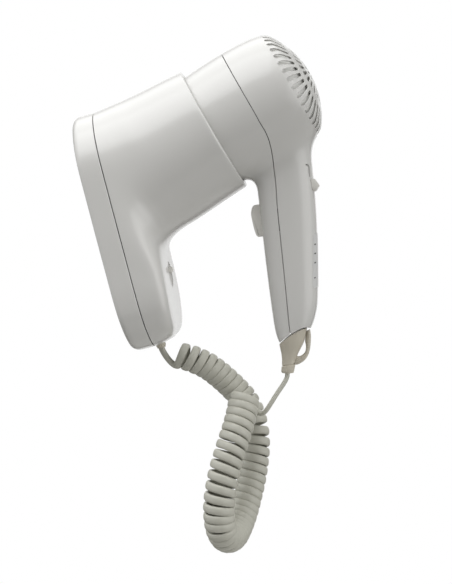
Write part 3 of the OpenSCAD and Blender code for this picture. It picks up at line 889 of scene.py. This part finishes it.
def trim(ob, field, gap):
    """Keeps the part of a mesh where field(side view) > gap, cut along the exact line."""
    bm = bmesh.new()
    bm.from_mesh(ob.data)

    def values():
        bm.verts.index_update()
        co = np.array([v.co[:] for v in bm.verts])
        return field(co[:, [0, 2]] / MM) - gap

    val = values()
    crossing = [e for e in bm.edges if val[e.verts[0].index] * val[e.verts[1].index] < 0]
    spots = {}
    for e in crossing:
        a, b = e.verts
        va, vb = val[a.index], val[b.index]
        low, high = 0.0, 1.0
        t = va / (va - vb)
        for _ in range(3):
            q = a.co.lerp(b.co, t)
            here = float(field(np.array([[q.x / MM, q.z / MM]]))[0] - gap)
            if here * va > 0:
                low = t
                t = t + (high - t) * abs(here) / (abs(here) + abs(vb) + 1e-9)
            else:
                high = t
                t = t - (t - low) * abs(here) / (abs(here) + abs(va) + 1e-9)
        spots[e] = min(max(t, 0.001), 0.999)
    out = bmesh.ops.bisect_edges(bm, edges=crossing, cuts=1, edge_percents=spots)
    new = {v for v in out["geom_split"] if isinstance(v, bmesh.types.BMVert)}
    for f in [f for f in bm.faces if sum(v in new for v in f.verts) == 2]:
        a, b = [v for v in f.verts if v in new]
        if not any(a in e.verts and b in e.verts for e in f.edges):
            bmesh.utils.face_split(f, a, b)
    val = values()
    drop = [v for v in bm.verts if v not in new and val[v.index] < 0]
    bmesh.ops.delete(bm, geom=drop, context="VERTS")
    bm.to_mesh(ob.data)
    bm.free()


def seam_field(xz):
    """Positive behind the seam between the shells."""
    return signed_side(xz, SEAM)


def rim_field(xz):
    """Positive in front of the grille's rim."""
    return RIM_S - along(xz[:, 0], xz[:, 1])[0]


def nozzle_field(xz):
    """Positive behind the nozzle's end."""
    return along(xz[:, 0], xz[:, 1])[0] - NOZZLE_S


def base_field(xz):
    """Positive above the line where the strain relief begins."""
    return signed_side(xz, BASE)


def turn_in(ob):
    """Chamfers every open edge of a skin and gives it a wall."""
    depth, slope, thick = 0.35, 0.2, 2.0
    bm = bmesh.new()
    bm.from_mesh(ob.data)
    bmesh.ops.recalc_face_normals(bm, faces=bm.faces)
    bm.normal_update()
    edges = [e for e in bm.edges if e.is_boundary]
    normal = {v: v.normal.copy() for e in edges for v in e.verts}
    outward = {v: Vector((0, 0, 0)) for v in normal}
    for e in edges:
        f = e.link_faces[0]
        d = e.verts[1].co - e.verts[0].co
        mid = (e.verts[0].co + e.verts[1].co) / 2
        out = d.cross(f.normal)
        if out.dot(f.calc_center_median() - mid) > 0:
            out = -out
        out.normalize()
        for v in e.verts:
            outward[v] += out
    got = bmesh.ops.extrude_edge_only(bm, edges=edges)
    new = [v for v in got["geom"] if isinstance(v, bmesh.types.BMVert)]
    by_place = {tuple(round(c, 7) for c in v.co): v for v in normal}
    for v in new:
        old = by_place[tuple(round(c, 7) for c in v.co)]
        out = outward[old].normalized() if outward[old].length else Vector()
        v.co = old.co - normal[old] * depth * MM + out * slope * MM
    bm.to_mesh(ob.data)
    bm.free()
    give_wall(ob, thick)


front = build_body()
rear = front.copy()
rear.data = front.data.copy()
bpy.context.scene.collection.objects.link(rear)
front.name, rear.name = "front_half", "rear_half"
for ob, way, end_field in ((front, -1.0, nozzle_field), (rear, 1.0, rim_field)):
    trim(ob, lambda q: way * seam_field(q), 0.39)
    trim(ob, base_field, 0.5)
    trim(ob, end_field, 0.0)
    turn_in(ob)
    clean(ob, 34)

# Openings in the rear shell: the mode switch's slot and a hooked groove either side of it
openings = [placed_block(on_back, (-6, -1.6, -7.4), (5, 1.6, 10.6))]
HOOK = np.array(
    [[12.2, 1], [12.2, 8.0], [12.7, 8.9], [13.8, 9.4], [13.8, 10.5], [12.2, 10.2], [11.1, 9.3], [10.7, 8.2],
     [10.7, 1]]
)
for way in (-1, 1):
    openings.append(loft([on_back(np.full(len(HOOK), x), way * HOOK[:, 0], HOOK[:, 1]) for x in (-6.5, 3.0)]))
for v, f in openings:
    apply_boolean(rear, mesh_piece("opening", v, f))
clean(rear, 34)
finish_piece(front, "handset", WHITE, ["front_shell"])
finish_piece(rear, "handset", WHITE, ["rear_shell"])


# ---------------------------------------------------------------- grille and lint screen

DOME_R, DOME_TOP = 62.6, 78.4
ARC = np.arcsin(np.linspace(0, 37.2, 40) / DOME_R)
DOME = [[DOME_R * math.sin(a), DOME_TOP - DOME_R + DOME_R * math.cos(a)] for a in ARC]
# The grille's profile (radius, place along the axis): a dome that rounds over onto the barrel
PROFILE = curve_through([*DOME, [38.2, 65.1], [39.1, 63.6], [39.95, 62.2], [40.62, 60.25]], 3)
SLOPE = np.gradient(PROFILE, axis=0)
RUN = np.concatenate([[0], np.cumsum(np.linalg.norm(np.diff(PROFILE, axis=0), axis=1))])
EDGE = float(RUN[-1])
# Rings of slots: how many, from and to which distance over the dome, half-widths there
SLOTS = [(38, (28.6, EDGE - 1.4, 1.2, 1.8)), (26, (15.2, 23.8, 0.85, 1.4)), (14, (5.4, 12.0, 0.5, 1.3))]
GRILLE_T, CHAMFER_W, CHAMFER_D = 2.0, 0.26, 0.3


def on_dome(flat, depth):
    """Points of a flat disc laid over the profile, sunk below it by the depth."""
    reach = np.hypot(flat[:, 0], flat[:, 1])
    r, s = (np.interp(reach, RUN, PROFILE[:, k]) for k in (0, 1))
    dr, ds = (np.interp(reach, RUN, SLOPE[:, k]) for k in (0, 1))
    size = np.hypot(dr, ds)
    r, s = r + depth * ds / size, s - depth * dr / size
    way = flat / np.maximum(reach, 1e-9)[:, None]
    return on_axis(np.stack([way[:, 0] * r, way[:, 1] * r, s], 1))


def tapered_slot(r0, r1, w0, w1, grow=0.0):
    """Round-ended slot along +x from r0 to r1 with half-widths w0 and w1."""
    w0, w1 = w0 + grow, w1 + grow
    r0, r1 = r0 - grow, r1 + grow
    ang = np.linspace(-math.pi / 2, math.pi / 2, 7)
    far = [[r1 - w1 + w1 * math.cos(a), w1 * math.sin(a)] for a in ang]
    near = [[r0 + w0 - w0 * math.cos(a), -w0 * math.sin(a)] for a in ang]
    length = near[0][0] - far[-1][0]
    up_side = [[far[-1][0] + t * length, w1 + t * (w0 - w1)] for t in np.arange(1, 6) / 6]
    down_side = [[x, -w] for x, w in up_side[::-1]]
    return np.array([*far, *up_side, *near, *down_side])


def build_grille():
    """The slotted dome: a flat disc is triangulated round its slots and then laid over the profile."""
    points, edges, low = [], [], set()

    def closed(ring, lowered=False):
        start = len(points)
        points.extend(Vector(q) for q in ring)
        n = len(ring)
        edges.extend((start + i, start + (i + 1) % n) for i in range(n))
        if lowered:
            low.update(range(start, start + n))

    closed(circle(EDGE, 152))
    for r, n in ((EDGE - 0.5, 152), (26.0, 76), (13.6, 52), (3.6, 26), (1.8, 12)):
        points.extend(Vector(q) for q in circle(r, n, 0.5))
    points.append(Vector((0, 0)))
    for count, size in SLOTS:
        hole, rim = tapered_slot(*size), tapered_slot(*size, CHAMFER_W)
        for k in range(count):
            a = (k + 0.5) * 2 * math.pi / count
            spin_by = np.array([[math.cos(a), math.sin(a)], [-math.sin(a), math.cos(a)]])
            closed(rim @ spin_by)
            closed(hole @ spin_by, True)
    out, _, tris, source, _, _ = delaunay_2d_cdt(points, edges, [], 1, 1e-5)
    flat = np.array([v[:] for v in out])
    mid = np.array([flat[list(t)].mean(0) for t in tris])
    radius, turn = np.hypot(mid[:, 0], mid[:, 1]), np.arctan2(mid[:, 1], mid[:, 0])
    open_face = np.zeros(len(tris), bool)
    for count, size in SLOTS:
        pitch = 2 * math.pi / count
        local = (turn % pitch) - pitch / 2
        middles = np.stack([radius * np.cos(local), radius * np.sin(local)], 1)
        open_face |= inside(middles, tapered_slot(*size))
    sunk = np.array([CHAMFER_D if any(q in low for q in src) else 0.0 for src in source])
    faces = [t for t, gone in zip(tris, open_face) if not gone]
    ob = mesh_piece("grille", on_dome(flat, sunk), faces, 28)
    give_wall(ob, GRILLE_T)
    clean(ob, 28)
    return ob


finish_piece(build_grille(), "handset", WHITE, ["inlet_grille"])
spans = np.linspace(0.01, EDGE - 0.6, 30)
screen_rows = []
for depth, run in ((2.5, spans), (2.9, spans[::-1])):
    p = np.stack([run, 0 * run], 1)
    q = on_dome(p, np.full(len(run), depth)) - on_axis([0, 0, 0])
    screen_rows += [[-a * S15 + b * C15, a * C15 + b * S15] for a, b in zip(q[:, 0], q[:, 2])]
lint = mesh_piece("lint_mesh", *spin(screen_rows, 96))
finish_piece(lint, "handset", SCREEN, ["lint_screen"])


# ---------------------------------------------------------------- trigger and mode knob

face = curve_through(
    [
        [-3.4, 11.3], [-4.6, 10.6], [-5.4, 9.4], [-6.2, 7], [-6.5, 4], [-6.2, 0], [-5.6, -5], [-5, -8.2],
        [-4.3, -10.4], [-3.2, -11.4],
    ],
    4,
)
back_edge = [
    [-1, -11.5], [2, -11.5], [4.8, -11.5], [4.8, -6], [4.8, 0], [4.8, 6], [4.8, 11.5], [2, 11.5], [-1, 11.5],
]
paddle = np.vstack([face, back_edge])
trigger = mesh_piece(
    "rocker",
    *joined([
        pillow(paddle, -6, 6, 1.3, lambda x, z, y: on_grip(x, y, z)),
        placed_block(on_grip, (3.6, -7.4, -12.8), (5, 7.4, 12.8)),
    ]),
    35,
)
finish_piece(trigger, "trigger", LIGHT, ["trigger"])


def back_surface(y, z, out=0.0):
    """x of the handle's back at a height and distance across."""
    xf, xb, w, n = handle_at(z)
    return (xf + xb) / 2 + (xb - xf) / 2 * (1 - np.abs(y / w) ** n) ** (1 / n) + out


# The thumb slide: its plan carried outward, then cut to the wedge's side view and the handle's back
half = np.array([[-0.5, 11.7], [-3, 11.4], [-5.5, 11], [-7.2, 10.5], [-8.4, 9.7], [-9, 8.5]])
plan = np.vstack([half, half[::-1] * [1, -1]])[:, ::-1]
thumb = mesh_piece(
    "thumb_slider",
    *loft([on_back(np.full(len(plan), x), plan[:, 0], plan[:, 1]) for x in (-3.8, 5.5)]),
)
wedge = np.array([[-3.8, -0.5], [1.1, -0.5], [3.9, -5.3], [1, -9.1], [-3.8, -9.1]])
apply_boolean(
    thumb,
    mesh_piece("wedge", *loft([on_back(wedge[:, 0], np.full(5, y), wedge[:, 1]) for y in (-13.0, 13.0)])),
    "INTERSECT",
)
apply_boolean(thumb, mesh_piece("grip", *loft(handle_rings(-30, 30, 0.25, 96))))
clean(thumb, 30)
soften(thumb, 0.3)
absorb(thumb, mesh_piece("stem", *placed_block(on_back, (-4.4, -1.4, -7), (0.9, 1.4, -2.6))), 35)
finish_piece(thumb, "mode_knob", LIGHT, ["mode_knob"])


# ---------------------------------------------------------------- label


def patch(y0, y1, z0, z1, low, high, corner=0.0, count=24):
    """A thin patch on the handle's back with rounded corners."""
    rings = []
    t = np.linspace(0, 1, count)
    for z in z0 + (z1 - z0) * (0.5 - 0.5 * np.cos(np.pi * np.linspace(0.001, 0.999, 40))):
        near = min(z - z0, z1 - z)
        cut = corner - math.sqrt(max(corner**2 - max(corner - near, 0) ** 2, 0)) if corner else 0.0
        y = (y0 + cut) + (y1 - y0 - 2 * cut) * t
        zz = np.full(count, z)
        top = np.stack([back_surface(y, zz, high), y, zz], 1)
        under = np.stack([back_surface(y, zz, low), y, zz], 1)
        rings.append(np.vstack([top, under[::-1]]))
    return loft(rings)


label = mesh_piece("label", *patch(-11.5, 11.5, -75, -38, 0.0, 0.3, 2.5), 40)
finish_piece(label, "handset", LABEL, ["label_plate"])
# Four generic ticks in place of the print: where each ends across, and its height
TICKS = [(-8.6, -45.3), (-8.4, -51.5), (-8.6, -57.8), (-9.2, -68)]
ticks = [patch(-10.6, y1, z - 0.45, z + 0.45, 0.25, 0.33, 0.0, 5) for y1, z in TICKS]
finish_piece(mesh_piece("label_ticks", *joined(ticks), 40), "handset", INK)


# ---------------------------------------------------------------- strain relief

# Rows as in ROWS: the cone below the shells, and the collar that holds the cord
RELIEF = [
    [[101.2, -98], [127.6, -92], 12.9, 2.3], [[101, -102], [125.4, -97.6], 12.7, 2.3],
    [[100.7, -106.9], [122.4, -102.2], 12.2, 2.3], [[100.5, -110.4], [118.9, -109.2], 10.2, 2.2],
    [[100.3, -114.1], [114.8, -114.2], 8.2, 2.1], [[99.9, -117.2], [111.9, -117.4], 6.9, 2],
    [[99.2, -120.4], [109.6, -120.7], 6, 2], [[98.5, -122.6], [108.4, -123.1], 5.6, 2],
]
COLLAR = [
    [[98.9, -122.9], [107.9, -123.4], 5.2, 2], [[98.7, -123.4], [107.7, -123.9], 5.2, 2],
    [[98.0, -123.6], [108.1, -124.2], 5.7, 2], [[97.3, -125.6], [107.2, -126.2], 5.4, 2],
    [[96.9, -126.8], [106.5, -127.5], 5.2, 2], [[97.1, -127.6], [106, -128.7], 4.9, 2],
    [[97.9, -128.2], [105.2, -129.9], 4.1, 2],
]


def build_relief():
    """The cone, cut off along the shells' end, with the hanging loop on its back."""
    rows = [*curve_through(flat_rows(RELIEF), 4), *flat_rows(COLLAR)]
    ob = mesh_piece("relief_cone", *loft([superellipse(r[:2], r[2:4], r[4], r[5], 64) for r in rows]))
    trim(ob, lambda q: -base_field(q), 0.55)
    bm = bmesh.new()
    bm.from_mesh(ob.data)
    bmesh.ops.holes_fill(bm, edges=[e for e in bm.edges if e.is_boundary])
    bm.to_mesh(ob.data)
    bm.free()
    clean(ob, 32)
    outer = [
        [124.6, -102.9], [124.1, -107], [122.6, -112.2], [120.9, -116.4], [118.9, -119.8], [115.7, -122.9],
        [112.4, -124.3], [109.6, -124.9], [107.4, -124.6],
    ]
    inner = [
        [121.9, -103.2], [120.4, -106.4], [119, -110], [118.7, -113.2], [118, -115.6], [116.8, -117.6],
        [114.5, -119], [112.1, -119.4], [110.2, -118.6],
    ]
    edges = zip(curve_through(outer, 5), curve_through(inner, 5))
    absorb(ob, mesh_piece("loop", *loft([superellipse(e, o, 2.8, 2.6, 24) for e, o in edges])), 32)
    return ob


finish_piece(build_relief(), "handset", IVORY, ["strain_relief"])


# ---------------------------------------------------------------- stage

floor = mesh_piece("floor", *block((-1600, -1600, -1620), (1600, 1600, -1600)))
floor.data.materials.append(moulded("pale_floor", (0.45, 0.445, 0.43), 0.7, grain=120.0))

world = bpy.data.worlds.new("studio")
bpy.context.scene.world = world
world.use_nodes = True
wn = world.node_tree
bg = wn.nodes["Background"]
where = add(wn, "ShaderNodeTexCoord")


def lobe(toward, low, high):
    """0 to 1 as a direction turns toward the given one."""
    dot = add(wn, "ShaderNodeVectorMath", operation="DOT_PRODUCT")
    wn.links.new(where.outputs["Generated"], dot.inputs[0])
    dot.inputs[1].default_value = toward
    node = add(wn, "ShaderNodeMapRange", interpolation_type="SMOOTHSTEP")
    node.inputs["From Min"].default_value = low
    node.inputs["From Max"].default_value = high
    wn.links.new(dot.outputs["Value"], node.inputs["Value"])
    return node.outputs["Result"]


# A dim room that is paler above the horizon, then a pale side, two soft boxes, the ceiling and the
# white wall behind the dryer: the colour, the direction and where the patch starts and is full
sky = (0.07, 0.065, 0.058)
for color, toward, low, high in (
    ((0.15, 0.147, 0.14), (0, 0, 1), -0.35, 0.05),
    ((0.4, 0.4, 0.395), (1, 0, 0), 0.5, 0.8),
    ((1.6, 1.6, 1.59), (0.86, -0.48, -0.12), 0.78, 0.95),
    ((0.6, 0.6, 0.6), (-0.92, -0.34, 0.2), 0.6, 0.88),
    ((1.75, 1.76, 1.77), (0, 0, 1), 0.48, 0.82),
    ((1.0, 1.0, 1.0), (0, 1, 0), 0.84, 0.92),
):
    sky = blended(wn, sky, color, lobe(toward, low, high))
wn.links.new(sky, bg.inputs["Color"])
bg.inputs["Strength"].default_value = 1.0


lamp_data = bpy.data.lights.new("top_box", "AREA")
lamp_data.shape, lamp_data.size, lamp_data.energy = "SQUARE", 0.5, 1.0
lamp = bpy.data.objects.new("top_box", lamp_data)
bpy.context.scene.collection.objects.link(lamp)
lamp.location = (0.0, -0.25, 0.52)
lamp.rotation_mode = "QUATERNION"
lamp.rotation_quaternion = (Vector((0.04, 0, 0.02)) - lamp.location).to_track_quat("-Z", "Y")

bpy.context.scene.view_settings.view_transform = "Standard"
